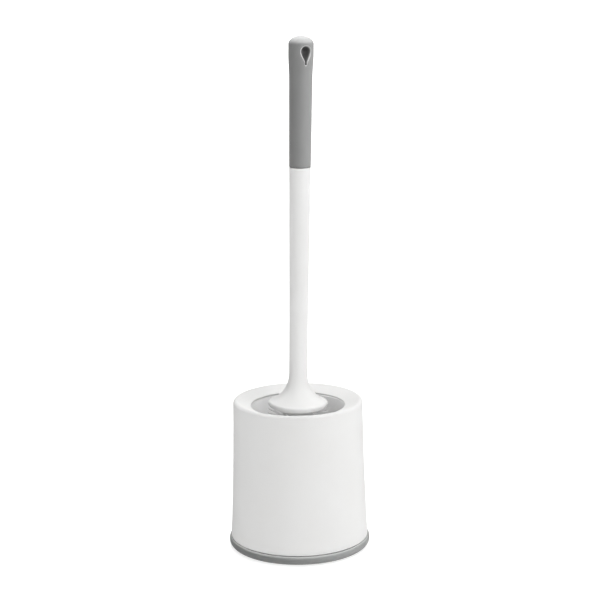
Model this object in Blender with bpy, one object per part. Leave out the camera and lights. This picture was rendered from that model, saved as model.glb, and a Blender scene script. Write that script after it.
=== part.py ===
"""A toilet brush standing in its holder.

The holder is a grey base tray on four rubber pads, an inner cup that catches the drips, and a
white shell that lifts off the tray. The brush stands free in the cup and leans a little: its
handle and splash guard are one moulding, with a soft grip at the top and a tufted head below.

Sizes are in millimetres. The origin is on the floor, on the holder's axis, and +Z is up. The
grip's hanging hole runs along Y. Heights on the brush are read along the brush's own axis.
"""

import math

import bmesh
import bpy
from mathutils import Matrix, Vector

MM = 0.001
GAP = 0.3  # between two pieces that touch
FIT = 0.4  # between two pieces that slide together

# Holder, driving dimensions
BASE_RADIUS = 60.0
TRAY_BOTTOM = 0.6
TRAY_RING_TOP = 8.5
RIM_HEIGHT = 127.7
RIM_RADIUS = 54.7
MOUTH_RADIUS = 39.7
MOUTH_HEIGHT = 123.3
SHELL_WALL = 2.2
SHELL_FOOT_RADIUS = 58.4
FLOOR_TOP = 3.2
CUP_RADIUS = 40.4
CUP_WALL = 1.6
CUP_FLOOR = 9.2
CUP_DRAFT = 0.9  # how much narrower the cup is at its floor than at its top
PAD_RADIUS = 6.0
PAD_CIRCLE = 47.0
PAD_COUNT = 4

# Brush, driving dimensions
LEAN = math.radians(1.35)
GUARD_RADIUS = 25.1
GUARD_EDGE = 121.2
GUARD_WAIST = 124.6  # where the guard is widest
ROD_RADIUS = 7.7
JOINT_HEIGHT = 324.9
JOINT_RADIUS = 8.9
BRUSH_TOP = 432.2
GRIP_RADIUS = 10.35
TANG_RADIUS = 6.4
TANG_TOP = 404.0
HOLE_CENTRE = 420.25
HOLE_RADIUS = 3.95
HOLE_WAIST = 411.35  # where the flanks run into the tail
HOLE_TIP = 409.5
HOLE_TAIL = 0.7
SOCKET_RADIUS = 5.3
SOCKET_TOP = 149.0
BOSS_BOTTOM = 118.9
NECK_RADIUS = 12.6
CORE_RADIUS = 9.0
CORE_DOME = 36.6
HEAD_RADIUS = 36.5
COLLAR_BOTTOM = 114.4

# Tufts
ROW_COUNT = 8
ROW_BOTTOM = 39.0
ROW_PITCH = 9.9
TUFTS_IN_ROW = 12
TUFT_HEIGHT = 4.4
BAND_WALL = 1.2

ROUND = 48  # facets round the holder
SLIM = 28  # facets round the brush


# ---------------------------------------------------------------- outlines, as (radius, height)


def arc(centre, radius, start, end, steps):
    """Points on a circle from one angle to another, in degrees."""
    angles = [math.radians(start + (end - start) * i / steps) for i in range(steps + 1)]
    return [
        (centre[0] + radius * math.cos(a), centre[1] + radius * math.sin(a))
        for a in angles
    ]


def oval(centre, half_width, half_height, start, end, steps):
    """Points on an oval from one angle to another, in degrees."""
    return [
        (centre[0] + (r - centre[0]) * half_width, centre[1] + (z - centre[1]) * half_height)
        for r, z in arc(centre, 1.0, start, end, steps)
    ]


def bezier(a, b, c, d, steps):
    """Points on a cubic curve from a to d, pulled towards b and c."""
    points = []
    for i in range(steps + 1):
        t = i / steps
        weights = ((1 - t) ** 3, 3 * t * (1 - t) ** 2, 3 * t * t * (1 - t), t**3)
        points.append(
            tuple(sum(w * p[k] for w, p in zip(weights, (a, b, c, d))) for k in (0, 1))
        )
    return points


def quarter_oval(a, b, steps):
    """Points on a quarter of an oval, which leaves a straight up and reaches b level."""
    return [
        (
            b[0] + (a[0] - b[0]) * math.cos(math.pi / 2 * i / steps),
            a[1] + (b[1] - a[1]) * math.sin(math.pi / 2 * i / steps),
        )
        for i in range(steps + 1)
    ]


# ---------------------------------------------------------------- modelling helpers


def material(name, colour, roughness):
    made = bpy.data.materials.new(name)
    made.use_nodes = True
    shader = made.node_tree.nodes["Principled BSDF"]
    shader.inputs["Base Color"].default_value = (*colour, 1.0)
    shader.inputs["Roughness"].default_value = roughness
    shader.inputs["Metallic"].default_value = 0.0
    return made


def add_object(name, bm, mat, smooth=True):
    """Turns a bmesh into a named object in the scene."""
    bmesh.ops.recalc_face_normals(bm, faces=bm.faces)
    mesh = bpy.data.meshes.new(name)
    bm.to_mesh(mesh)
    bm.free()
    if mat:
        mesh.materials.append(mat)
    if smooth:
        mesh.shade_smooth()
        mesh.set_sharp_from_angle(angle=math.radians(35))
    obj = bpy.data.objects.new(name, mesh)
    bpy.context.scene.collection.objects.link(obj)
    return obj


def spun(outline, segments, closed):
    """A bmesh of the outline turned once round the Z axis. An open outline ends on the axis."""
    bm = bmesh.new()
    verts = [bm.verts.new((r * MM, 0.0, z * MM)) for r, z in outline]
    pairs = list(zip(verts, verts[1:]))
    if closed:
        pairs.append((verts[-1], verts[0]))
    edges = [bm.edges.new(pair) for pair in pairs]
    bmesh.ops.spin(
        bm,
        geom=verts + edges,
        cent=(0, 0, 0),
        axis=(0, 0, 1),
        angle=2 * math.pi,
        steps=segments,
        use_merge=True,
    )
    bmesh.ops.remove_doubles(bm, verts=bm.verts, dist=1e-6)
    return bm


def turned(name, outline, mat, segments=ROUND, closed=False):
    return add_object(name, spun(outline, segments, closed), mat)


def boolean(obj, tool, operation):
    """Cuts or joins obj with a tool, which is kept as a hidden helper."""
    tool.hide_render = True
    tool.display_type = "WIRE"
    modifier = obj.modifiers.new(operation.lower(), "BOOLEAN")
    modifier.operation = operation
    modifier.object = tool
    modifier.solver = "EXACT"


# ---------------------------------------------------------------- holder


def base_tray(mat):
    """Grey dish with a rounded ring outside, a spigot for the shell and a socket for the cup."""
    ring_fillet = 4.4
    ring_shoulder = 2.9
    spigot_outer = SHELL_FOOT_RADIUS - SHELL_WALL - FIT
    spigot_top = 16.4
    spigot_wall = 2.0
    lead_in = 0.8
    socket_inner = CUP_RADIUS - CUP_DRAFT + CUP_WALL + 0.5
    socket_top = 9.4
    socket_wall = 1.7
    outline = [(0, TRAY_BOTTOM)]
    outline += arc(
        (BASE_RADIUS - ring_fillet, TRAY_BOTTOM + ring_fillet), ring_fillet, -90, 0, 5
    )
    outline += quarter_oval(
        (BASE_RADIUS, TRAY_RING_TOP - ring_shoulder), (SHELL_FOOT_RADIUS, TRAY_RING_TOP), 4
    )
    outline += [
        (spigot_outer, TRAY_RING_TOP),
        (spigot_outer, spigot_top - lead_in),
        (spigot_outer - lead_in, spigot_top),
        (spigot_outer - spigot_wall, spigot_top),
        (spigot_outer - spigot_wall, FLOOR_TOP),
        (socket_inner + socket_wall, FLOOR_TOP),
        (socket_inner + socket_wall, socket_top),
        (socket_inner, socket_top),
        (socket_inner, FLOOR_TOP),
        (0, FLOOR_TOP),
    ]
    tray = turned("base_tray", outline, mat)
    boolean(
        tray,
        ribs(socket_inner + socket_wall / 2, spigot_outer - spigot_wall / 2),
        "UNION",
    )
    boolean(tray, pad_recesses(), "DIFFERENCE")
    return tray


def ribs(inner, outer):
    """Eight upright ribs across the tray's channel, from one radius to another."""
    count, thickness, root, top = 8, 1.6, 1.0, 7.4
    bottom = FLOOR_TOP - root
    bm = bmesh.new()
    for i in range(count):
        size = Matrix.Diagonal(
            ((outer - inner) * MM, thickness * MM, (top - bottom) * MM, 1)
        )
        place = Matrix.Translation(((inner + outer) / 2 * MM, 0, (top + bottom) / 2 * MM))
        turn = Matrix.Rotation(2 * math.pi * i / count, 4, "Z")
        bmesh.ops.create_cube(bm, size=1.0, matrix=turn @ place @ size)
    return add_object("tray_ribs", bm, None, smooth=False)


def pad_place(i):
    """Where pad i stands, in mm."""
    angle = 2 * math.pi * (i + 0.5) / PAD_COUNT
    return PAD_CIRCLE * math.cos(angle), PAD_CIRCLE * math.sin(angle)


def pad_recesses():
    """Round cutters, one over each pad, that leave a thin floor above them."""
    depth_top = 2.0
    bm = bmesh.new()
    for i in range(PAD_COUNT):
        x, y = pad_place(i)
        bmesh.ops.create_cone(
            bm,
            cap_ends=True,
            segments=16,
            radius1=(PAD_RADIUS + GAP) * MM,
            radius2=(PAD_RADIUS + GAP) * MM,
            depth=2 * depth_top * MM,
            matrix=Matrix.Translation((x * MM, y * MM, 0)),
        )
    return add_object("pad_recesses", bm, None, smooth=False)


def foot_pads(mat):
    """Rubber discs in the recesses, which stand proud of the tray."""
    top, chamfer = 1.7, 0.3
    outline = [
        (0, 0),
        (PAD_RADIUS - chamfer, 0),
        (PAD_RADIUS, chamfer),
        (PAD_RADIUS, top),
        (0, top),
    ]
    for i in range(PAD_COUNT):
        x, y = pad_place(i)
        pad = turned(f"foot_pad_{i + 1}", outline, mat, segments=16)
        pad.location = (x * MM, y * MM, 0)


def inner_cup(mat):
    """Drip cup: a nearly straight wall, a round corner, a raised floor and a flange at the top."""
    top = MOUTH_HEIGHT - 2.2  # just under the shell's lip
    flange_radius = CUP_RADIUS + 4.4
    flange_wall = 1.6
    corner = 7.0
    foot = FLOOR_TOP + GAP
    foot_step = 0.4
    low_radius = CUP_RADIUS - CUP_DRAFT
    outline = [(0, CUP_FLOOR)]
    outline += arc((low_radius - corner, CUP_FLOOR + corner), corner, -90, 0, 5)
    outline += [(CUP_RADIUS, top), (flange_radius, top), (flange_radius, top - flange_wall)]
    outline += [
        (CUP_RADIUS + CUP_WALL, top - flange_wall),
        (low_radius + CUP_WALL, foot),
        (low_radius - foot_step, foot),
        (low_radius - foot_step, CUP_FLOOR - CUP_WALL),
        (0, CUP_FLOOR - CUP_WALL),
    ]
    return turned("inner_cup", outline, mat, segments=48)


def shell_radius(height):
    """Outer radius of the shell's wall: it widens downwards, and faster towards its foot."""
    foot = TRAY_RING_TOP + GAP
    straight = 0.35  # the share of the widening that is even; the rest grows with the square
    t = (RIM_HEIGHT - height) / (RIM_HEIGHT - foot)
    flare = straight * t + (1 - straight) * t * t
    return RIM_RADIUS + (SHELL_FOOT_RADIUS - RIM_RADIUS) * flare


def outer_shell(mat):
    """White tapered wall, open below, whose rim turns in to a funnel round the mouth."""
    foot = TRAY_RING_TOP + GAP
    fillet = 2.6
    steps = 6
    heights = [
        foot + (RIM_HEIGHT - fillet - foot) * i / steps for i in range(steps + 1)
    ]
    outer = [(shell_radius(z), z) for z in heights]
    rim_centre = (shell_radius(RIM_HEIGHT - fillet) - fillet, RIM_HEIGHT - fillet)
    slope = math.degrees(
        math.atan2(RIM_HEIGHT - MOUTH_HEIGHT, rim_centre[0] - MOUTH_RADIUS)
    )
    rim = arc(rim_centre, fillet, 0, 90 + slope, 5)[1:]
    lip = 0.95  # half the lip's thickness
    lip_centre = (MOUTH_RADIUS + lip, MOUTH_HEIGHT - lip)
    edge = arc(lip_centre, lip, 90 + slope, 270, 4)
    under = [
        (MOUTH_RADIUS + 2.2, MOUTH_HEIGHT - 2 * lip),
        (rim_centre[0] - 1.0, RIM_HEIGHT - SHELL_WALL - 0.6),
        (rim_centre[0] + fillet - SHELL_WALL, RIM_HEIGHT - fillet - 1.4),
    ]
    inner = [(r - SHELL_WALL, z) for r, z in reversed(outer[:-1])]
    return turned("outer_shell", outer + rim + edge + under + inner, mat, closed=True)


# ---------------------------------------------------------------- brush


def handle_rod(mat):
    """Handle moulding: a tang for the grip, a tapered rod, the splash guard and a socketed boss."""
    flare_top = 151.0
    tang_round = 2.0
    chamfer = 0.25
    neck = NECK_RADIUS - 0.2
    neck_top = 131.2
    outline = [(0, TANG_TOP)]
    outline += arc((TANG_RADIUS - tang_round, TANG_TOP - tang_round), tang_round, 90, 0, 3)
    outline += [
        (TANG_RADIUS, JOINT_HEIGHT),
        (JOINT_RADIUS - chamfer, JOINT_HEIGHT),
        (JOINT_RADIUS, JOINT_HEIGHT - chamfer),
    ]
    outline += bezier((8.35, 262), (7.95, 215), (ROD_RADIUS, 195), (ROD_RADIUS, 165), 4)
    bead_top = oval((GUARD_RADIUS - 2.0, GUARD_WAIST), 2.0, 1.9, 66, 0, 4)
    bead_drop = GUARD_WAIST - GUARD_EDGE
    outline += bezier((ROD_RADIUS, flare_top), (ROD_RADIUS, 137.6), (14.8, 129.9), bead_top[0], 10)
    outline += bead_top[1:]
    outline += oval((GUARD_RADIUS - 2.8, GUARD_WAIST), 2.8, bead_drop, 0, -90, 5)[1:]
    outline += bezier(
        (21.6, GUARD_EDGE + 0.15), (19.4, GUARD_EDGE + 1.0), (17.0, 126.8), (13.6, neck_top), 4
    )
    outline += [
        (neck, neck_top),
        (neck, BOSS_BOTTOM),
        (SOCKET_RADIUS, BOSS_BOTTOM),
        (SOCKET_RADIUS, SOCKET_TOP),
        (0, SOCKET_TOP + 2.0),
    ]
    return turned("handle_rod", outline, mat, segments=SLIM)


def hole_outline():
    """The hanging hole across its own axis: a round head, flanks that draw in, a short tail."""
    head = arc((0, HOLE_CENTRE), HOLE_RADIUS, 0, 180, 14)
    flank = bezier(
        (HOLE_RADIUS, HOLE_CENTRE),
        (HOLE_RADIUS, HOLE_CENTRE - 3.1),
        (1.85, HOLE_WAIST + 2.9),
        (HOLE_TAIL, HOLE_WAIST),
        5,
    )
    tail = arc((0, HOLE_TIP), HOLE_TAIL, 180, 360, 4)
    far_flank = [(-x, z) for x, z in flank[1:]]
    return head + far_flank + tail + flank[:0:-1]


def hanging_hole():
    """Cutter for the hanging hole, right through the grip along Y."""
    half_depth = 2 * GRIP_RADIUS
    bm = bmesh.new()
    verts = [bm.verts.new((x * MM, -half_depth * MM, z * MM)) for x, z in hole_outline()]
    face = bm.faces.new(verts)
    drawn = bmesh.ops.extrude_face_region(bm, geom=[face])["geom"]
    moved = [g for g in drawn if isinstance(g, bmesh.types.BMVert)]
    bmesh.ops.translate(bm, verts=moved, vec=(0, 2 * half_depth * MM, 0))
    return add_object("hanging_hole", bm, None, smooth=False)


def grip_sleeve(mat):
    """Soft sleeve over the tang, thicker towards its domed top."""
    bottom = JOINT_HEIGHT + GAP
    bore = TANG_RADIUS + GAP
    dome = 6.6
    chamfer = 0.35
    foot_radius = JOINT_RADIUS + 0.2
    outline = [(bore, bottom), (foot_radius - chamfer, bottom)]
    outline += [(foot_radius, bottom + chamfer)]
    outline += bezier(
        (9.15, 340), (9.35, 375), (9.5, 400), (GRIP_RADIUS, 417), 6
    )
    outline += quarter_oval((GRIP_RADIUS, BRUSH_TOP - dome), (0, BRUSH_TOP), 7)
    outline += [(0, TANG_TOP + 1.0), (bore - 1.5, TANG_TOP + 1.0), (bore, TANG_TOP - 0.5)]
    return add_object("grip_sleeve", spun(outline, SLIM, True), mat)


def head_core(mat):
    """Core of the head: a barbed spigot that fits the socket, a collar, and a round-ended stem."""
    spigot = SOCKET_RADIUS - GAP
    top = SOCKET_TOP - 2.0
    collar_top = BOSS_BOTTOM - GAP
    collar_taper = 2.6
    point, barb, barb_pitch = 2.0, 0.8, 6.0
    outline = [(0, top), (spigot - 1.2, top)]
    for i in range(3):
        z = top - point - barb_pitch * i
        outline += [(spigot, z), (spigot - barb, z - 0.4), (spigot - barb, z - 4.0)]
    outline += [(spigot, 126.0), (spigot, collar_top)]
    outline += [(NECK_RADIUS, collar_top), (NECK_RADIUS, COLLAR_BOTTOM)]
    outline += [(CORE_RADIUS, COLLAR_BOTTOM - collar_taper)]
    outline += arc((0, CORE_DOME), CORE_RADIUS, 0, -90, 6)
    return turned("head_core", outline, mat, segments=SLIM)


def tuft_ring(name, mat, tufts, centre, tilt, splay, length, flare):
    """One row of tufts as a single solid: a thin band round the core, with a tuft on every other
    facet. The band's middle is centre, (radius, height), and it faces out at tilt degrees above
    level. The tufts stand at splay degrees, and are flare times as thick at their tips."""
    face_out = Vector((math.cos(math.radians(tilt)), math.sin(math.radians(tilt))))
    along = Vector((-face_out.y, face_out.x))
    inside = Vector(centre)
    half = along * TUFT_HEIGHT / 2
    band = face_out * BAND_WALL
    outline = [inside - half, inside + half, inside + half + band, inside - half + band]
    bm = spun(outline, 2 * tufts, True)
    bmesh.ops.recalc_face_normals(bm, faces=bm.faces)
    bm.faces.ensure_lookup_table()

    def outer_facet(face):
        out = face.calc_center_median()
        normal = Vector((Vector((out.x, out.y)).length, out.z)) / MM
        return abs((normal - inside).dot(face_out) - BAND_WALL) < 0.3

    def sector(face):
        out = face.calc_center_median()
        return int(math.atan2(out.y, out.x) % (2 * math.pi) / (math.pi / tufts))

    roots = [f for f in bm.faces if outer_facet(f) and sector(f) % 2 == 0]
    ends = bmesh.ops.extrude_discrete_faces(bm, faces=roots)["faces"]
    for face in ends:
        middle = face.calc_center_median()
        out = Vector((middle.x, middle.y, 0)).normalized()
        rise = math.radians(splay)
        way = out * math.cos(rise) + Vector((0, 0, math.sin(rise)))
        turn = Matrix.Rotation(math.radians(tilt - splay), 3, out.cross((0, 0, -1)))
        for vert in face.verts:
            offset = turn @ (vert.co - middle)
            vert.co = middle + way * length * MM + offset * flare
    return add_object(name, bm, mat, smooth=False)


def bristle_rows(mat):
    """Level rows along the stem, the top three splayed upwards, then the dome row and the tip."""
    made = []
    root = CORE_RADIUS + GAP
    splays = {ROW_COUNT - 1: 26, ROW_COUNT - 2: 13, ROW_COUNT - 3: 5, 0: -10}
    reaches = {ROW_COUNT - 1: 27.0, ROW_COUNT - 2: 31.5, ROW_COUNT - 3: 35.0}
    tip_trim, row_flare = 0.8, 1.55
    for i in range(ROW_COUNT):
        splay = splays.get(i, 0)
        reach = reaches.get(i, HEAD_RADIUS) - root - BAND_WALL
        length = reach / math.cos(math.radians(splay)) - tip_trim
        centre = (root, ROW_BOTTOM + ROW_PITCH * i)
        name = f"bristle_row_{i + 1}"
        made.append(tuft_ring(name, mat, TUFTS_IN_ROW, centre, 0, splay, length, row_flare))
    for name, tufts, tilt, length, flare in (
        ("bristle_dome_row", 10, -38, 21.0, 1.9),
        ("bristle_tip", 6, -68, 12.6, 1.5),
    ):
        angle = math.radians(tilt)
        centre = (root * math.cos(angle), CORE_DOME + root * math.sin(angle))
        made.append(tuft_ring(name, mat, tufts, centre, tilt, tilt, length, flare))
    return made


def stand_brush(pieces):
    """Leans the brush about the middle of its splash guard, where it crosses the holder's axis."""
    axis = bpy.data.objects.new("brush_axis", None)
    bpy.context.scene.collection.objects.link(axis)
    axis.location = (0, 0, GUARD_EDGE * MM)
    axis.rotation_euler = (0, LEAN, 0)
    for piece in pieces:
        piece.parent = axis
        piece.location = (0, 0, -GUARD_EDGE * MM)


def main():
    for obj in list(bpy.data.objects):
        bpy.data.objects.remove(obj, do_unlink=True)
    white = material("white_plastic", (0.86, 0.86, 0.85), 0.38)
    cup_white = material("cup_plastic", (0.80, 0.80, 0.79), 0.45)
    grey = material("grey_plastic", (0.27, 0.275, 0.27), 0.5)
    soft_grey = material("grip_rubber", (0.25, 0.255, 0.25), 0.62)
    pad_grey = material("pad_rubber", (0.09, 0.09, 0.09), 0.8)
    bristle = material("bristle_plastic", (0.88, 0.88, 0.87), 0.42)

    base_tray(grey)
    foot_pads(pad_grey)
    inner_cup(cup_white)
    outer_shell(white)

    grip = grip_sleeve(soft_grey)
    hole = hanging_hole()
    boolean(grip, hole, "DIFFERENCE")
    brush = [handle_rod(white), grip, hole, head_core(white), *bristle_rows(bristle)]
    stand_brush(brush)


main()
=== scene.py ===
"""Looks for the toilet brush holder: fine turned shells and mouldings in place of the CAD's
coarse ones, filament bristles, moulded-plastic and rubber materials, and the studio around it.

Lengths are in millimetres until they reach a mesh. Brush heights are read along the brush."""

import math
import random

import bmesh
import bpy
from mathutils import Matrix, Vector


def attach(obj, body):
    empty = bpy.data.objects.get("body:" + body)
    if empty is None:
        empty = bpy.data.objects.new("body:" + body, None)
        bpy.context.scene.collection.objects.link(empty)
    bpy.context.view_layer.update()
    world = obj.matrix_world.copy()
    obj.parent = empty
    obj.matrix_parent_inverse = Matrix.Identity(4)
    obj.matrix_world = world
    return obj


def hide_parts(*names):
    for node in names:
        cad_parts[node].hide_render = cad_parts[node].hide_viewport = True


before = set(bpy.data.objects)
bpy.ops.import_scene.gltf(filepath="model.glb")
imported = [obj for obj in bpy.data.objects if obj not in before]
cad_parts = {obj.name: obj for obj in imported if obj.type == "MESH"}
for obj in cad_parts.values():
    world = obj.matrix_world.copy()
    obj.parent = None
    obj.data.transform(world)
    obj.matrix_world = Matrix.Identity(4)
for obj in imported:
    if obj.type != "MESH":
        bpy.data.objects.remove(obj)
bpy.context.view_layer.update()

MM = 0.001
GAP = 0.3  # between two pieces that touch
FIT = 0.4  # between two pieces that slide together

# Holder, as in the CAD
BASE_RADIUS = 60.0
TRAY_BOTTOM = 0.6
TRAY_RING_TOP = 8.5
RIM_HEIGHT = 127.7
RIM_RADIUS = 54.7
MOUTH_RADIUS = 39.7
MOUTH_HEIGHT = 123.3
SHELL_WALL = 2.2
SHELL_FOOT_RADIUS = 58.4
SHELL_FOOT = TRAY_RING_TOP + GAP
FLOOR_TOP = 3.2
CUP_RADIUS = 40.4
CUP_WALL = 1.6
CUP_FLOOR = 9.2
CUP_DRAFT = 0.9  # how much narrower the cup is at its floor than at its top
PAD_RADIUS = 6.0
PAD_CIRCLE = 47.0
PAD_COUNT = 4

# Brush, as in the CAD
LEAN = math.radians(1.35)
GUARD_RADIUS = 25.1
GUARD_EDGE = 121.2
GUARD_WAIST = 124.6  # where the guard is widest
ROD_RADIUS = 7.7
JOINT_HEIGHT = 324.9
JOINT_RADIUS = 8.9
BRUSH_TOP = 432.2
GRIP_RADIUS = 10.35
TANG_RADIUS = 6.4
TANG_TOP = 404.0
HOLE_CENTRE = 420.25
HOLE_RADIUS = 3.95
HOLE_WAIST = 411.35  # where the flanks run into the tail
HOLE_TIP = 409.5
HOLE_TAIL = 0.7
SOCKET_RADIUS = 5.3
SOCKET_TOP = 149.0
BOSS_BOTTOM = 118.9
NECK_RADIUS = 12.6
CORE_RADIUS = 9.0
CORE_DOME = 36.6
HEAD_RADIUS = 36.5
ROW_COUNT = 8
ROW_BOTTOM = 39.0
ROW_PITCH = 9.9

# Camera
VIEW_AZIMUTH = math.radians(-24.6)
VIEW_DISTANCE = 1.42299
VIEW_HEIGHT = 0.52419
VIEW_TARGET_HEIGHT = 0.21339
VIEW_TARGET_SIDE = 0.00296
VIEW_ROLL = -0.013
VIEW_LENS = 104.53

# Studio: a turn is in degrees to the camera's right, and a rise is in degrees up
FILL = 0.27
WHITE_GROUND = 1.05  # what the camera sees behind the object
GLOSS_TURN = 72  # the soft box that gloss mirrors, to the right
GLOSS_RISE = 12
GLOSS_SIDE = 4.0
GLOSS_SIDE_FOCUS = 3.0
GLOSS_TOP = 9.5  # the soft box that gloss mirrors, above
GLOSS_TOP_EDGE = 0.54
GLOSS_TOP_FULL = 0.92
GLOSS_BACK = 0.0  # where gloss mirrors the far side of the studio, which is darker
GLOSS_FRONT = 0.4
GLOSS_BEHIND = 0.5
MIDDLE = 0.1  # the height that the lights turn and rise about, in metres
SIDE_TURN = 58
SIDE_RISE = 65
SIDE_DISTANCE = 1.8
SIDE_SIZE = 0.7
SIDE_POWER = 13.5
TOP_HEIGHT = 1.9
TOP_SIZE = 1.6
TOP_POWER = 11.0
CUP_TURN = 122  # a small light over the mouth, for the inside of the cup
CUP_OFFSET = 0.034
CUP_SIZE = 0.02
CUP_POWER = 0.036
EDGE_TURN = 15  # a small strip in front of the splash guard's edge
EDGE_RISE = 17
EDGE_DISTANCE = 0.06
EDGE_HEIGHT = 0.122
EDGE_SIZE = (0.08, 0.01)
EDGE_POWER = 0.009
LOW_TURN = 50  # a harder light on the bristles
LOW_RISE = 20
LOW_DISTANCE = 1.2
LOW_HEIGHT = 0.11
LOW_SIZE = 0.15
LOW_POWER = 3.0
FLOOR_RADIUS = 14.0

SHARP = 40  # an edge over this many degrees shows as an edge

random.seed(7)

# How the brush stands: along its own axis from the middle of its splash guard
BRUSH_PLACE = (
    Matrix.Translation((0, 0, GUARD_EDGE * MM))
    @ Matrix.Rotation(LEAN, 4, "Y")
    @ Matrix.Translation((0, 0, -GUARD_EDGE * MM))
)


# ---------------------------------------------------------------- outlines, as (radius, height)


def arc(centre, radius, start, end, steps):
    """Part of a circle, from one angle to the other, in degrees."""
    angles = [math.radians(start + (end - start) * i / steps) for i in range(steps + 1)]
    return [
        (centre[0] + radius * math.cos(a), centre[1] + radius * math.sin(a))
        for a in angles
    ]


def oval(centre, half_width, half_height, start, end, steps):
    """Part of an oval, from one angle of its circle to the other."""
    return [
        (centre[0] + (r - centre[0]) * half_width, centre[1] + (z - centre[1]) * half_height)
        for r, z in arc(centre, 1.0, start, end, steps)
    ]


def bezier(a, b, c, d, steps):
    """A cubic curve from a to d, which sets off towards b and comes in from c."""
    points = []
    for i in range(steps + 1):
        t = i / steps
        weights = ((1 - t) ** 3, 3 * t * (1 - t) ** 2, 3 * t * t * (1 - t), t**3)
        points.append(
            tuple(sum(w * p[k] for w, p in zip(weights, (a, b, c, d))) for k in (0, 1))
        )
    return points


def quarter_oval(a, b, steps):
    """A quarter of an oval, which leaves a straight up and reaches b level."""
    return [
        (
            b[0] + (a[0] - b[0]) * math.cos(math.pi / 2 * i / steps),
            a[1] + (b[1] - a[1]) * math.sin(math.pi / 2 * i / steps),
        )
        for i in range(steps + 1)
    ]


def rounded(points, radius, steps=3):
    """The open outline with each inner corner rounded off, and its two ends kept."""
    made = [points[0]]
    for before, corner, after in zip(points, points[1:], points[2:]):
        p, q, r = Vector(before), Vector(corner), Vector(after)
        a, b = (p - q), (r - q)
        reach = min(radius, a.length * 0.45, b.length * 0.45)
        start, end = q + a.normalized() * reach, q + b.normalized() * reach
        for i in range(steps + 1):
            t = i / steps
            made.append(tuple(start * (1 - t) ** 2 + q * 2 * t * (1 - t) + end * t * t))
    made.append(points[-1])
    return made


# ---------------------------------------------------------------- meshes


def mesh_object(name, bm, *mats, sharp=SHARP):
    """An object of that shape, smooth except over edges sharper than that many degrees."""
    bmesh.ops.recalc_face_normals(bm, faces=bm.faces)
    mesh = bpy.data.meshes.new(name)
    bm.to_mesh(mesh)
    bm.free()
    for mat in mats:
        mesh.materials.append(mat)
    mesh.shade_smooth()
    mesh.set_sharp_from_angle(angle=math.radians(sharp))
    obj = bpy.data.objects.new(name, mesh)
    bpy.context.scene.collection.objects.link(obj)
    return obj


def spun(outline, segments, closed=False):
    """The outline turned once round Z. An open outline starts and ends on the axis."""
    bm = bmesh.new()
    rings = []
    for r, z in outline:
        if r < 1e-6:
            rings.append([bm.verts.new((0, 0, z * MM))])
            continue
        angles = [2 * math.pi * i / segments for i in range(segments)]
        rings.append(
            [bm.verts.new((r * MM * math.cos(a), r * MM * math.sin(a), z * MM)) for a in angles]
        )
    pairs = list(zip(rings, rings[1:]))
    if closed:
        pairs.append((rings[-1], rings[0]))
    for low, high in pairs:
        for i in range(segments):
            j = (i + 1) % segments
            corners = [low[i % len(low)], low[j % len(low)]]
            corners += [high[j % len(high)], high[i % len(high)]]
            face = list(dict.fromkeys(corners))
            if len(face) > 2:
                bm.faces.new(face)
    return bm


def settled(obj):
    """Applies the object's modifiers to its mesh."""
    evaluated = obj.evaluated_get(bpy.context.evaluated_depsgraph_get())
    mesh = bpy.data.meshes.new_from_object(evaluated)
    obj.modifiers.clear()
    old = obj.data
    obj.data = mesh
    bpy.data.meshes.remove(old)
    return obj


def boolean(obj, tool, operation):
    """Adds the tool to the object or cuts it away, and uses the tool up."""
    modifier = obj.modifiers.new(operation.lower(), "BOOLEAN")
    modifier.operation = operation
    modifier.object = tool
    modifier.solver = "EXACT"
    settled(obj)
    bpy.data.objects.remove(tool, do_unlink=True)
    obj.data.shade_smooth()
    obj.data.set_sharp_from_angle(angle=math.radians(SHARP))
    return obj


def stands_for(obj, body, slot, *nodes):
    """Puts a finished piece on its body, in place of CAD nodes."""
    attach(obj, body)
    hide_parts(*nodes)
    return obj


def on_brush(obj):
    """Moves a piece that was made upright to where it is on the leaning brush."""
    obj.data.transform(BRUSH_PLACE)
    return obj


# ---------------------------------------------------------------- materials


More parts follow.
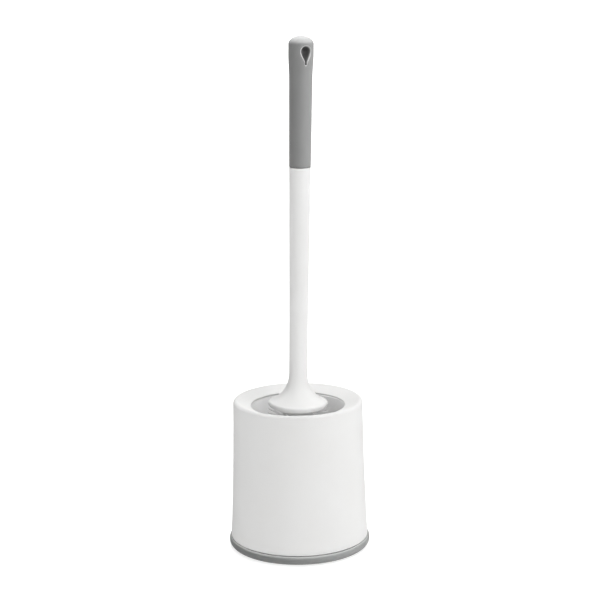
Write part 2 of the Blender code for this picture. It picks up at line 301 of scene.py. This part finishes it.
class Look:
    """A Principled material whose colour, roughness and bump come from noise in object space."""

    def __init__(self, name, colour, roughness, **constant):
        self.material = bpy.data.materials.new(name)
        self.material.use_nodes = True
        self.tree = self.material.node_tree
        self.shader = self.tree.nodes["Principled BSDF"]
        self.colour, self.roughness = colour, roughness
        for socket, value in constant.items():
            self.shader.inputs[socket.replace("_", " ")].default_value = value
        self.coordinates = self.tree.nodes.new("ShaderNodeTexCoord").outputs["Object"]
        self.height = None

    def noise(self, scale, detail=2.0, stretch=(1, 1, 1)):
        mapping = self.tree.nodes.new("ShaderNodeMapping")
        mapping.inputs["Scale"].default_value = stretch
        self.tree.links.new(self.coordinates, mapping.inputs["Vector"])
        node = self.tree.nodes.new("ShaderNodeTexNoise")
        node.inputs["Scale"].default_value = scale
        node.inputs["Detail"].default_value = detail
        self.tree.links.new(mapping.outputs[0], node.inputs["Vector"])
        return node.outputs["Fac"]

    def spread(self, source, low, high, near=0.3, far=0.7):
        """The source's middle range spread over low to high."""
        node = self.tree.nodes.new("ShaderNodeMapRange")
        self.tree.links.new(source, node.inputs["Value"])
        limits = {"From Min": near, "From Max": far, "To Min": low, "To Max": high}
        for socket, value in limits.items():
            node.inputs[socket].default_value = value
        return node.outputs[0]

    def tint(self, source, amount, warm=0.0):
        """Colour from a little darker to a little lighter than the plain one."""
        node = self.tree.nodes.new("ShaderNodeMix")
        node.data_type = "RGBA"
        dark = [c * (1 - amount) * (1 + warm * k) for c, k in zip(self.colour, (1, 0, -1))]
        light = [min(1.0, c * (1 + amount)) for c in self.colour]
        node.inputs[6].default_value = (*dark, 1)
        node.inputs[7].default_value = (*light, 1)
        self.tree.links.new(self.spread(source, 0, 1), node.inputs[0])
        self.tree.links.new(node.outputs[2], self.shader.inputs["Base Color"])
        return self

    def gloss(self, source, spread):
        value = self.spread(source, self.roughness - spread, self.roughness + spread)
        self.tree.links.new(value, self.shader.inputs["Roughness"])
        return self

    def bump(self, source, depth):
        """Adds relief of that depth, in mm."""
        node = self.tree.nodes.new("ShaderNodeBump")
        node.inputs["Strength"].default_value = 1.0
        node.inputs["Distance"].default_value = depth * MM
        self.tree.links.new(source, node.inputs["Height"])
        if self.height:
            self.tree.links.new(self.height, node.inputs["Normal"])
        self.height = node.outputs[0]
        self.tree.links.new(self.height, self.shader.inputs["Normal"])
        return self


def moulded(name, colour, roughness, grain=1500, depth=0.008, wave=0.03, **constant):
    """Moulded plastic: fine spark-eroded grain, a faint sink waviness and a soft colour drift."""
    look = Look(name, colour, roughness, **constant)
    look.tint(look.noise(28, 3), 0.012, 0.004)
    look.gloss(look.noise(160, 4), 0.035)
    look.bump(look.noise(22, 1), wave)
    look.bump(look.noise(grain, 3), depth)
    return look.material


def soft_touch(name, colour, roughness, **constant):
    """Rubbery grey: a fine pebbled skin, slightly patchy gloss."""
    look = Look(name, colour, roughness, **constant)
    look.tint(look.noise(45, 4), 0.035)
    look.gloss(look.noise(260, 4), 0.05)
    look.bump(look.noise(1100, 4), 0.014)
    return look.material


def filament(name, colour, roughness, **constant):
    """Nylon filaments: each a little lighter or darker, with fine drawn lines."""
    look = Look(name, colour, roughness, **constant)
    look.tint(look.noise(900, 1), 0.05, 0.01)
    look.gloss(look.noise(400, 2), 0.06)
    look.bump(look.noise(3000, 2), 0.004)
    return look.material


# ---------------------------------------------------------------- holder


def shell_radius(height):
    """Outer radius of the shell's wall: it widens downwards, and faster towards its foot."""
    straight = 0.35  # the share of the widening that is even; the rest grows with the square
    t = (RIM_HEIGHT - height) / (RIM_HEIGHT - SHELL_FOOT)
    flare = straight * t + (1 - straight) * t * t
    return RIM_RADIUS + (SHELL_FOOT_RADIUS - RIM_RADIUS) * flare


def outer_shell(mat):
    """The tapered wall, whose rim rolls over and falls in a funnel to the rounded mouth."""
    fillet, lip, wall_steps = 2.6, 0.95, 26
    foot_edge, foot_corner = 0.5, 0.14  # how far the foot's outer edge is rounded, and its middle
    wall_foot = SHELL_FOOT + foot_edge
    heights = [
        wall_foot + (RIM_HEIGHT - fillet - wall_foot) * i / wall_steps
        for i in range(wall_steps + 1)
    ]
    foot_radius = shell_radius(SHELL_FOOT)
    foot = [
        (foot_radius - foot_edge, SHELL_FOOT),
        (foot_radius - foot_corner, SHELL_FOOT + foot_corner),
    ]
    outer = [(shell_radius(z), z) for z in heights]
    centre = (shell_radius(RIM_HEIGHT - fillet) - fillet, RIM_HEIGHT - fillet)
    slope = math.degrees(math.atan2(RIM_HEIGHT - MOUTH_HEIGHT, centre[0] - MOUTH_RADIUS))
    rim = arc(centre, fillet, 0, 90 + slope, 16)[1:]
    lip_centre = (MOUTH_RADIUS + lip, MOUTH_HEIGHT - lip)
    funnel_end = arc(lip_centre, lip, 90 + slope, 270, 12)
    funnel = [
        tuple(Vector(rim[-1]).lerp(Vector(funnel_end[0]), i / 5)) for i in range(1, 5)
    ]
    under = [
        (MOUTH_RADIUS + 2.2, MOUTH_HEIGHT - 2 * lip),
        (centre[0] - 1.0, RIM_HEIGHT - SHELL_WALL - 0.6),
        (centre[0] + fillet - SHELL_WALL, RIM_HEIGHT - fillet - 1.4),
    ]
    inner = [(r - SHELL_WALL, z) for r, z in reversed(outer[:-1])]
    inner.append((foot_radius - SHELL_WALL, SHELL_FOOT))
    outline = foot + outer + rim + funnel + funnel_end + under + inner
    shell = mesh_object("shell_moulding", spun(outline, 192, closed=True), mat, sharp=50)
    return stands_for(shell, "shell", "white_plastic", "outer_shell")


def base_tray(mat):
    """The tray: a rounded foot ring, a spigot for the shell, a socket for the cup, and ribs."""
    fillet, shoulder = 4.4, 2.9
    spigot_outer = SHELL_FOOT_RADIUS - SHELL_WALL - FIT
    spigot_top, spigot_wall = 16.4, 2.0
    socket_inner = CUP_RADIUS - CUP_DRAFT + CUP_WALL + 0.5
    socket_top, socket_wall = 9.4, 1.7
    outline = [(radius, TRAY_BOTTOM) for radius in (0, 20, 36, 54)]
    outline += arc((BASE_RADIUS - fillet, TRAY_BOTTOM + fillet), fillet, -90, 0, 14)
    outline += quarter_oval(
        (BASE_RADIUS, TRAY_RING_TOP - shoulder), (SHELL_FOOT_RADIUS, TRAY_RING_TOP), 12
    )
    inside = [
        (SHELL_FOOT_RADIUS, TRAY_RING_TOP),
        (spigot_outer, TRAY_RING_TOP),
        (spigot_outer, spigot_top),
        (spigot_outer - spigot_wall, spigot_top),
        (spigot_outer - spigot_wall, FLOOR_TOP),
        (socket_inner + socket_wall, FLOOR_TOP),
        (socket_inner + socket_wall, socket_top),
        (socket_inner, socket_top),
        (socket_inner, FLOOR_TOP),
        (0, FLOOR_TOP),
    ]
    outline += rounded(inside, 0.6)[1:]
    tray = mesh_object("tray_moulding", spun(outline, 192), mat)
    webs = ribs(socket_inner + socket_wall / 2, spigot_outer - spigot_wall / 2, mat)
    boolean(tray, webs, "UNION")
    boolean(tray, pad_recesses(mat), "DIFFERENCE")
    return stands_for(tray, "base", "grey_plastic", "base_tray")


def ribs(inner, outer, mat):
    """Radial ribs between the two radii, sunk a little into the tray's floor."""
    count, thickness, sunk, top = 8, 1.6, 1.0, 7.4
    bottom = FLOOR_TOP - sunk
    bm = bmesh.new()
    for i in range(count):
        size = Matrix.Diagonal(((outer - inner) * MM, thickness * MM, (top - bottom) * MM, 1))
        place = Matrix.Translation(((inner + outer) / 2 * MM, 0, (top + bottom) / 2 * MM))
        turn = Matrix.Rotation(2 * math.pi * i / count, 4, "Z")
        bmesh.ops.create_cube(bm, size=1.0, matrix=turn @ place @ size)
    return mesh_object("ribs", bm, mat)


def pad_place(i):
    angle = 2 * math.pi * (i + 0.5) / PAD_COUNT
    return Matrix.Translation(
        (PAD_CIRCLE * MM * math.cos(angle), PAD_CIRCLE * MM * math.sin(angle), 0)
    )


def pad_recesses(mat):
    """Shallow round pockets in the tray's underside, one for each pad."""
    depth = 2.0
    bm = bmesh.new()
    for i in range(PAD_COUNT):
        bmesh.ops.create_cone(
            bm,
            cap_ends=True,
            segments=64,
            radius1=(PAD_RADIUS + GAP) * MM,
            radius2=(PAD_RADIUS + GAP) * MM,
            depth=2 * depth * MM,
            matrix=pad_place(i),
        )
    return mesh_object("recesses", bm, mat)


def foot_pads(mat):
    """Rubber pads that stand on a ring round a slightly dished middle."""
    top, dish, dish_edge, tread_edge = 1.7, 0.25, PAD_RADIUS - 2.4, PAD_RADIUS - 1.8
    tread = [(dish_edge, dish), (tread_edge, 0), (PAD_RADIUS, 0), (PAD_RADIUS, top), (0, top)]
    outline = [(0, dish)] + rounded(tread, 0.35)
    for i in range(PAD_COUNT):
        pad = mesh_object(f"rubber_foot_{i + 1}", spun(outline, 64), mat)
        pad.data.transform(pad_place(i))
        stands_for(pad, "base", "pad_rubber", f"foot_pad_{i + 1}")


def inner_cup(mat):
    """The cup: a nearly straight wall, a round corner, a raised floor and a flange at the top."""
    top = MOUTH_HEIGHT - 2.2  # just under the shell's lip
    flange_radius, flange_wall, corner = CUP_RADIUS + 4.4, 1.6, 7.0
    foot, foot_step, wall_steps = FLOOR_TOP + GAP, 0.4, 10
    low = CUP_RADIUS - CUP_DRAFT
    wall_bottom = CUP_FLOOR + corner
    outline = [(radius, CUP_FLOOR) for radius in (0, 12, 24)]
    outline += arc((low - corner, wall_bottom), corner, -90, 0, 12)
    for i in range(1, wall_steps):
        t = i / wall_steps
        outline.append((low + CUP_DRAFT * t, wall_bottom + (top - wall_bottom) * t))
    outside = [
        outline[-1],
        (CUP_RADIUS, top),
        (flange_radius, top),
        (flange_radius, top - flange_wall),
        (CUP_RADIUS + CUP_WALL, top - flange_wall),
        (low + CUP_WALL, foot),
        (low - foot_step, foot),
        (low - foot_step, CUP_FLOOR - CUP_WALL),
        (0, CUP_FLOOR - CUP_WALL),
    ]
    outline += rounded(outside, 0.5)[1:]
    cup = mesh_object("cup_moulding", spun(outline, 160), mat)
    return stands_for(cup, "base", "cup_plastic", "inner_cup")


# ---------------------------------------------------------------- brush


def handle_rod(mat):
    """The handle: a tang for the grip, a tapered rod, the splash guard and a socketed boss."""
    flare_top, tang_round, edge = 151.0, 2.0, 0.3
    neck, neck_top = NECK_RADIUS - 0.2, 131.2
    inner_edge = (13.6, neck_top)
    outline = [(0, TANG_TOP)]
    outline += arc((TANG_RADIUS - tang_round, TANG_TOP - tang_round), tang_round, 90, 0, 6)
    outline += [(TANG_RADIUS, JOINT_HEIGHT)]
    outline += arc((JOINT_RADIUS - edge, JOINT_HEIGHT - edge), edge, 90, 0, 4)
    outline += bezier((8.35, 262), (7.95, 215), (ROD_RADIUS, 195), (ROD_RADIUS, 165), 24)
    bead_top = oval((GUARD_RADIUS - 2.0, GUARD_WAIST), 2.0, 1.9, 66, 0, 12)
    bead_drop = GUARD_WAIST - GUARD_EDGE
    outline += bezier((ROD_RADIUS, flare_top), (ROD_RADIUS, 137.6), (14.8, 129.9), bead_top[0], 40)
    outline += bead_top[1:]
    outline += oval((GUARD_RADIUS - 2.8, GUARD_WAIST), 2.8, bead_drop, 0, -90, 14)[1:]
    outline += bezier(
        (21.6, GUARD_EDGE + 0.15), (19.4, GUARD_EDGE + 1.0), (17.0, 126.8), inner_edge, 12
    )
    socket = [
        inner_edge,
        (neck, neck_top),
        (neck, BOSS_BOTTOM),
        (SOCKET_RADIUS, BOSS_BOTTOM),
        (SOCKET_RADIUS, SOCKET_TOP),
        (0, SOCKET_TOP + 2.0),
    ]
    outline += rounded(socket, 0.4)[1:]
    rod = on_brush(mesh_object("handle_moulding", spun(outline, 128), mat, sharp=35))
    return stands_for(rod, "brush", "white_plastic", "handle_rod")


def grip_outline(dome):
    """The grip's outer side, from its foot up to the top of its dome."""
    foot, edge = JOINT_HEIGHT + GAP, 0.35
    waist = (9.55, 398)
    swell_top, swell_step = 418, 0.8
    side = arc((JOINT_RADIUS - edge, foot + edge), edge, -90, 0, 4)
    side += bezier((JOINT_RADIUS + 0.1, 326.5), (9.1, 340), (9.35, 375), waist, 40)[1:]
    side += bezier(waist, (9.62, 406), (GRIP_RADIUS, 410), (GRIP_RADIUS, swell_top), 40)[1:]
    side += [(GRIP_RADIUS, swell_top + swell_step * i) for i in range(1, 10)]
    return side + quarter_oval((GRIP_RADIUS, BRUSH_TOP - dome), (0, BRUSH_TOP), 24)[1:]


def hole_outline():
    """The hanging hole across its axis, anticlockwise from the head's right side."""
    head = arc((0, HOLE_CENTRE), HOLE_RADIUS, 0, 180, 56)
    flank = bezier(
        (HOLE_RADIUS, HOLE_CENTRE),
        (HOLE_RADIUS, HOLE_CENTRE - 3.1),
        (1.85, HOLE_WAIST + 2.9),
        (HOLE_TAIL, HOLE_WAIST),
        20,
    )
    tail = arc((0, HOLE_TIP), HOLE_TAIL, 180, 360, 8)
    far_flank = [(-x, z) for x, z in flank[1:]]
    return head + far_flank + tail + flank[:0:-1]


def hole_cutter(mats):
    """A prism along Y with a chamfered lip where it meets the grip's round surface. What it cuts
    takes the second material on the lip, a lighter grey that is a painted highlight, and the third
    inside the hole, a darker grey that is painted shade. The lip is a list of
    (how far in from the grip's surface, how far out from the hole's outline)."""
    width, depth, bevel, clear = 0.95, 0.8, 0.12, 6.0
    lip = [(-clear, width), (-0.6, width), (0, width), (0.05, width - bevel)]
    lip += [(depth - bevel, 0.06), (depth, 0)]
    outline = hole_outline()
    count = len(outline)
    bm = bmesh.new()
    rings = []
    for side, steps in ((-1, lip), (1, lip[::-1])):
        for down, spread in steps:
            ring = []
            for i, (x, z) in enumerate(outline):
                before, after = Vector(outline[i - 1]), Vector(outline[(i + 1) % count])
                along = (after - before).normalized()
                u, v = x + along.y * spread, z - along.x * spread
                surface = math.sqrt(GRIP_RADIUS**2 - u * u)
                ring.append(bm.verts.new((u * MM, side * (surface - down) * MM, v * MM)))
            rings.append(ring)
    for k, (low, high) in enumerate(zip(rings, rings[1:])):
        for i in range(count):
            j = (i + 1) % count
            face = bm.faces.new((low[i], low[j], high[j], high[i]))
            # the lip's bands take the lighter grey, a painted highlight; the band through the hole
            # takes the darker grey, painted shade
            face.material_index = 2 if k == len(lip) - 1 else 1
    bm.faces.new(rings[0])
    bm.faces.new(rings[-1])
    bmesh.ops.triangulate(bm, faces=[f for f in bm.faces if len(f.verts) > 4])
    return mesh_object("hole_cutter", bm, *mats)


def grip_sleeve(*mats):
    """The grip, closed at the top, with a blind bore for the tang and the hanging hole."""
    foot, bore, dome = JOINT_HEIGHT + GAP, TANG_RADIUS + GAP, 6.6
    bore_top, bore_corner = TANG_TOP + 1.0, 1.5
    outline = [(bore, foot)] + grip_outline(dome)
    outline += [(0, bore_top), (bore - bore_corner, bore_top), (bore, bore_top - bore_corner)]
    grip = mesh_object("grip_moulding", spun(outline, 192, closed=True), *mats)
    boolean(grip, hole_cutter(mats), "DIFFERENCE")
    on_brush(grip)
    return stands_for(grip, "brush", "grip_rubber", "grip_sleeve")


def head_core(mat):
    """The head's core: a barbed spigot that fits the socket, a collar and a round-ended stem."""
    spigot = SOCKET_RADIUS - GAP
    top = SOCKET_TOP - 2.0
    collar_top, collar_bottom, collar_taper = BOSS_BOTTOM - GAP, 114.4, 2.6
    spigot_foot = 126.0
    point, barb, barb_pitch = 2.0, 0.8, 6.0
    outline = [(0, top), (spigot - 1.2, top)]
    for i in range(3):
        z = top - point - barb_pitch * i
        outline += [(spigot, z), (spigot - barb, z - 0.4), (spigot - barb, z - 4.0)]
    outline += [(spigot, spigot_foot)]
    collar = [
        (spigot, spigot_foot),
        (spigot, collar_top),
        (NECK_RADIUS, collar_top),
        (NECK_RADIUS, collar_bottom),
        (CORE_RADIUS, collar_bottom - collar_taper),
        (CORE_RADIUS, CORE_DOME),
    ]
    outline += rounded(collar, 0.5)[1:]
    outline += arc((0, CORE_DOME), CORE_RADIUS, 0, -90, 16)[1:]
    core = on_brush(mesh_object("core_moulding", spun(outline, 96), mat))
    return stands_for(core, "brush", "white_plastic", "head_core")


# ---------------------------------------------------------------- bristles

FILAMENT_RADIUS = 0.17
TUFT_RADIUS = 1.25  # a full tuft's, where it leaves the core
TUFT_FILAMENTS = 24
TUFT_SPREAD = 2.9  # a full tuft's radius at its tips
CURL = 0.8  # how far a filament's tip strays sideways
GOLDEN_ANGLE = 2.399963


def filament_tube(verts, faces, path):
    """A three-sided tube along the path, closed at both ends."""
    radius = FILAMENT_RADIUS * MM
    start = len(verts)
    for i, point in enumerate(path):
        ahead = path[min(i + 1, len(path) - 1)] - path[max(i - 1, 0)]
        side = ahead.cross((0.31, 0.17, 0.93)).normalized()
        up = side.cross(ahead).normalized()
        for k in range(3):
            angle = 2 * math.pi * k / 3
            verts.append(point + (side * math.cos(angle) + up * math.sin(angle)) * radius)
    for i in range(len(path) - 1):
        for k in range(3):
            a, b = start + 3 * i + k, start + 3 * i + (k + 1) % 3
            faces.append((a, b, b + 3, a + 3))
    last = start + 3 * (len(path) - 1)
    faces.append((start + 2, start + 1, start))
    faces.append((last, last + 1, last + 2))


def tuft(verts, faces, root, way, length, filaments, spread, curl):
    """A bundle of filaments from one root: they lie close at the core and fan out to the tips."""
    close = min(TUFT_RADIUS, spread * 0.8)
    side = way.orthogonal().normalized()
    up = way.cross(side)
    for k in range(filaments):
        ring = math.sqrt((k + 0.5) / filaments)
        angle = GOLDEN_ANGLE * k + random.uniform(-0.3, 0.3)
        offset = (side * math.cos(angle) + up * math.sin(angle)) * ring
        reach = length * random.uniform(0.955, 1.0)
        bend = (side * random.uniform(-1, 1) + up * random.uniform(-1, 1)) * curl
        path = []
        for i in range(5):
            t = i / 4
            fan = close + (spread - close) * t
            path.append(root + way * reach * t + offset * fan * MM + bend * t * t * MM)
        filament_tube(verts, faces, path)


def bristle_piece(name, node, mat, rings, curl=CURL):
    """One row: each ring is (radius, height, splay in degrees, length, tufts, filaments, spread,
    phase), and its phase says how far round the first tuft stands, in tufts."""
    verts, faces = [], []
    for radius, height, splay, length, tufts, filaments, spread, phase in rings:
        rise = math.radians(splay)
        for i in range(tufts):
            angle = 2 * math.pi * (i + phase) / tufts
            out = Vector((math.cos(angle), math.sin(angle), 0))
            root = out * radius * MM + Vector((0, 0, height * MM))
            way = out * math.cos(rise) + Vector((0, 0, math.sin(rise)))
            tuft(verts, faces, root, way, length * MM, filaments, spread, curl)
    mesh = bpy.data.meshes.new(name)
    mesh.from_pydata([tuple(BRUSH_PLACE @ v) for v in verts], [], faces)
    mesh.materials.append(mat)
    mesh.shade_smooth()
    obj = bpy.data.objects.new(name, mesh)
    bpy.context.scene.collection.objects.link(obj)
    return stands_for(obj, "brush", "bristle_plastic", node)


def bristles(mat):
    """Two staggered rings of tufts for each row along the stem, then the dome row and the tip.
    The top rows splay upwards and are shorter. The topmost has three rings of thin, tight tufts,
    so that each shows as a line against the shade under the guard."""
    splays = {ROW_COUNT - 1: 26, ROW_COUNT - 2: 13, ROW_COUNT - 3: 5, 0: -10}
    reaches = {ROW_COUNT - 1: 27.0, ROW_COUNT - 2: 31.5, ROW_COUNT - 3: 35.0}
    tufts, half_pitch, tip_trim = 14, 2.3, 1.2
    thin_tufts, thin_filaments, thin_spread, thin_curl = 13, 7, 0.25, 0.1
    root = CORE_RADIUS - GAP
    made = []
    for i in range(ROW_COUNT):
        splay = splays.get(i, 0)
        reach = reaches.get(i, HEAD_RADIUS) - root
        length = reach / math.cos(math.radians(splay)) - tip_trim
        height = ROW_BOTTOM + ROW_PITCH * i
        if i == ROW_COUNT - 1:
            thin = (thin_filaments, thin_spread)
            curl = thin_curl
            rings = [
                (root, height + up, splay + tilt, length, thin_tufts, *thin, phase)
                for up, tilt, phase in ((-1.8, -1, 0.30), (0.9, 0, 0.16), (3.6, 1, 0.02))
            ]
        else:
            full = (TUFT_FILAMENTS, TUFT_SPREAD)
            curl = CURL
            rings = [
                (root, height - half_pitch, splay - 2, length, tufts, *full, 0.0),
                (root, height + half_pitch, splay + 2, length, tufts, *full, 0.5),
            ]
        piece = bristle_piece(f"filaments_row_{i + 1}", f"bristle_row_{i + 1}", mat, rings, curl)
        made.append(piece)
    dome, tip = [], []
    for tilt, length, tufts, phase, home in (
        (-30, 21.8, 12, 0.0, dome),
        (-47, 19.5, 9, 0.5, dome),
        (-63, 13.0, 6, 0.0, tip),
        (-78, 12.0, 4, 0.5, tip),
    ):
        angle = math.radians(tilt)
        r, z = root * math.cos(angle), CORE_DOME + root * math.sin(angle)
        home.append((r, z, tilt, length, tufts, TUFT_FILAMENTS, 2.8, phase))
    made.append(bristle_piece("filaments_dome", "bristle_dome_row", mat, dome))
    made.append(bristle_piece("filaments_tip", "bristle_tip", mat, tip))
    return made


# ---------------------------------------------------------------- studio


def area_light(name, place, aim, size, power):
    data = bpy.data.lights.new(name, "AREA")
    data.shape = "RECTANGLE"
    data.size, data.size_y = size
    data.energy = power
    obj = bpy.data.objects.new(name, data)
    bpy.context.scene.collection.objects.link(obj)
    obj.visible_glossy = False
    obj.location = place
    obj.rotation_euler = (Vector(aim) - Vector(place)).to_track_quat("-Z", "Y").to_euler()
    return obj


def linked_light(light, lit, shading):
    """Keeps the light to the lit pieces, with shadows from the shading ones alone."""
    for kind, pieces in (("receiver", lit), ("blocker", shading)):
        group = bpy.data.collections.new(f"{light.name}_{kind}")
        for piece in pieces:
            group.objects.link(piece)
        setattr(light.light_linking, f"{kind}_collection", group)


def from_camera(turn, rise, distance):
    """A place that far from the object's middle, turned to the camera's right and raised."""
    angle = VIEW_AZIMUTH + math.radians(turn)
    lift = math.radians(rise)
    return (
        distance * math.sin(angle) * math.cos(lift),
        -distance * math.cos(angle) * math.cos(lift),
        MIDDLE + distance * math.sin(lift),
    )


def studio_world():
    """White to the camera, an even fill, and for gloss a soft box to the right and one above."""
    world = bpy.data.worlds.new("studio")
    world.cycles.sampling_method = "NONE"
    world.use_nodes = True
    tree = world.node_tree
    tree.nodes.clear()

    def math_node(operation, *values):
        node = tree.nodes.new("ShaderNodeMath")
        node.operation = operation
        for i, value in enumerate(values):
            if isinstance(value, (int, float)):
                node.inputs[i].default_value = value
            else:
                tree.links.new(value, node.inputs[i])
        return node.outputs[0]

    def background(strength):
        node = tree.nodes.new("ShaderNodeBackground")
        node.inputs["Color"].default_value = (1, 1, 1, 1)
        if isinstance(strength, (int, float)):
            node.inputs["Strength"].default_value = strength
        else:
            tree.links.new(strength, node.inputs["Strength"])
        return node.outputs[0]

    def either(choice, otherwise, chosen):
        node = tree.nodes.new("ShaderNodeMixShader")
        for i, source in enumerate((choice, otherwise, chosen)):
            tree.links.new(source, node.inputs[i])
        return node.outputs[0]

    def towards(direction):
        """How squarely a ray heads that way: 1 straight at it, 0 straight away."""
        node = tree.nodes.new("ShaderNodeVectorMath")
        node.operation = "DOT_PRODUCT"
        tree.links.new(ray, node.inputs[0])
        node.inputs[1].default_value = direction
        return math_node("MULTIPLY_ADD", node.outputs["Value"], 0.5, 0.5)

    def ramp(value, start, end, low, high):
        node = tree.nodes.new("ShaderNodeMapRange")
        node.interpolation_type = "SMOOTHSTEP"
        tree.links.new(value, node.inputs["Value"])
        node.inputs["From Min"].default_value = start
        node.inputs["From Max"].default_value = end
        node.inputs["To Min"].default_value = low
        node.inputs["To Max"].default_value = high
        return node.outputs[0]

    ray = tree.nodes.new("ShaderNodeTexCoord").outputs["Generated"]
    path = tree.nodes.new("ShaderNodeLightPath")
    right = Vector(from_camera(GLOSS_TURN, GLOSS_RISE, 1.0)) - Vector((0, 0, MIDDLE))
    focused = math_node("POWER", towards(right), GLOSS_SIDE_FOCUS)
    side_box = math_node("MULTIPLY", focused, GLOSS_SIDE)
    top_box = ramp(towards((0, 0, 1)), GLOSS_TOP_EDGE, GLOSS_TOP_FULL, 0, GLOSS_TOP)
    front = ramp(towards(from_camera(0, 0, 1.0)), GLOSS_BACK, GLOSS_FRONT, GLOSS_BEHIND, 1)
    gloss = background(math_node("MULTIPLY", math_node("ADD", side_box, top_box), front))
    shaded = either(path.outputs["Is Glossy Ray"], background(FILL), gloss)
    shown = either(path.outputs["Is Camera Ray"], shaded, background(WHITE_GROUND))
    tree.links.new(shown, tree.nodes.new("ShaderNodeOutputWorld").inputs[0])
    return world


def studio():
    """The world, the two main lights and the pale floor."""
    scene = bpy.context.scene
    scene.world = studio_world()
    scene.view_settings.view_transform = "Standard"
    scene.view_settings.look = "None"

    side = from_camera(SIDE_TURN, SIDE_RISE, SIDE_DISTANCE)
    area_light("side", side, (0, 0, MIDDLE), (SIDE_SIZE, SIDE_SIZE), SIDE_POWER)
    area_light("overhead", (0, 0, TOP_HEIGHT), (0, 0, 0), (TOP_SIZE, TOP_SIZE), TOP_POWER)

    look = Look("floor_paper", (0.3, 0.3, 0.3), 0.9, Emission_Strength=0.75)
    look.shader.inputs["Emission Color"].default_value = (1, 1, 1, 1)
    look.tint(look.noise(60, 3), 0.01)
    bm = bmesh.new()
    bmesh.ops.create_circle(bm, cap_ends=True, segments=64, radius=FLOOR_RADIUS)
    floor = mesh_object("floor", bm, look.material)
    floor.visible_glossy = False


def camera():
    """Looks slightly down at the object from its front left, with a long lens."""
    side = Vector((math.cos(VIEW_AZIMUTH), math.sin(VIEW_AZIMUTH), 0))
    back = Vector((math.sin(VIEW_AZIMUTH), -math.cos(VIEW_AZIMUTH), 0))
    eye = back * VIEW_DISTANCE + Vector((0, 0, VIEW_HEIGHT))
    aim = side * VIEW_TARGET_SIDE + Vector((0, 0, VIEW_TARGET_HEIGHT))
    ahead = (aim - eye).normalized()
    right = ahead.cross((0, 0, 1)).normalized()
    up = right.cross(ahead)
    right, up = (
        right * math.cos(VIEW_ROLL) + up * math.sin(VIEW_ROLL),
        up * math.cos(VIEW_ROLL) - right * math.sin(VIEW_ROLL),
    )
    data = bpy.data.cameras.new("camera")
    data.sensor_width = 36.0
    data.lens = VIEW_LENS
    obj = bpy.data.objects.new("camera", data)
    obj.matrix_world = Matrix(
        [(right[i], up[i], -ahead[i], eye[i]) for i in range(3)] + [(0, 0, 0, 1)]
    )
    bpy.context.scene.collection.objects.link(obj)
    bpy.context.scene.camera = obj


camera()
studio()

white = moulded("white_satin", (0.74, 0.74, 0.735), 0.38, Specular_IOR_Level=0.1)
# The cup is the shell's white plastic painted lighter than the shell: painted light inside the cup
cup_white_painted_light = moulded("cup_satin_painted_light", (0.92, 0.92, 0.92), 0.42, Specular_IOR_Level=0.2)
grey = moulded("grey_satin", (0.185, 0.19, 0.187), 0.42, depth=0.01)
grip_grey = soft_touch("grip_soft_touch", (0.185, 0.187, 0.185), 0.5)
# The hole's lip is painted a lighter grey than the grip, a painted highlight, and the hole's wall
# a darker grey, painted shade
lip_painted_highlight_grey = soft_touch("grip_hole_lip_painted_highlight", (0.42, 0.422, 0.42), 0.4)
bore_painted_shade_grey = soft_touch("grip_hole_wall_painted_shade", (0.15, 0.152, 0.15), 0.6)
pad_grey = soft_touch("pad_rubber_skin", (0.07, 0.07, 0.07), 0.75)
bristle_white = filament("bristle_nylon", (0.80, 0.80, 0.80), 0.35)

outer_shell(white)
base_tray(grey)
foot_pads(pad_grey)
cup = inner_cup(cup_white_painted_light)
handle = handle_rod(white)
grip_sleeve(grip_grey, lip_painted_highlight_grey, bore_painted_shade_grey)
core = head_core(white)
filaments = bristles(bristle_white)

over_mouth = Vector(from_camera(CUP_TURN, 0, CUP_OFFSET)) + Vector((0, 0, MIDDLE))
under = over_mouth - Vector((0, 0, MIDDLE))
cup_light = area_light("cup", over_mouth, under, (CUP_SIZE, CUP_SIZE), CUP_POWER)
cup_light.visible_camera = False
linked_light(cup_light, [cup], [cup, core, *filaments])

before_guard = from_camera(EDGE_TURN, EDGE_RISE, EDGE_DISTANCE)
edge_light = area_light("guard", before_guard, (0, 0, EDGE_HEIGHT), EDGE_SIZE, EDGE_POWER)
edge_light.visible_camera = False
linked_light(edge_light, [handle], [handle])

low = from_camera(LOW_TURN, LOW_RISE, LOW_DISTANCE)
low_light = area_light("bristles", low, (0, 0, LOW_HEIGHT), (LOW_SIZE, LOW_SIZE), LOW_POWER)
linked_light(low_light, filaments, filaments)
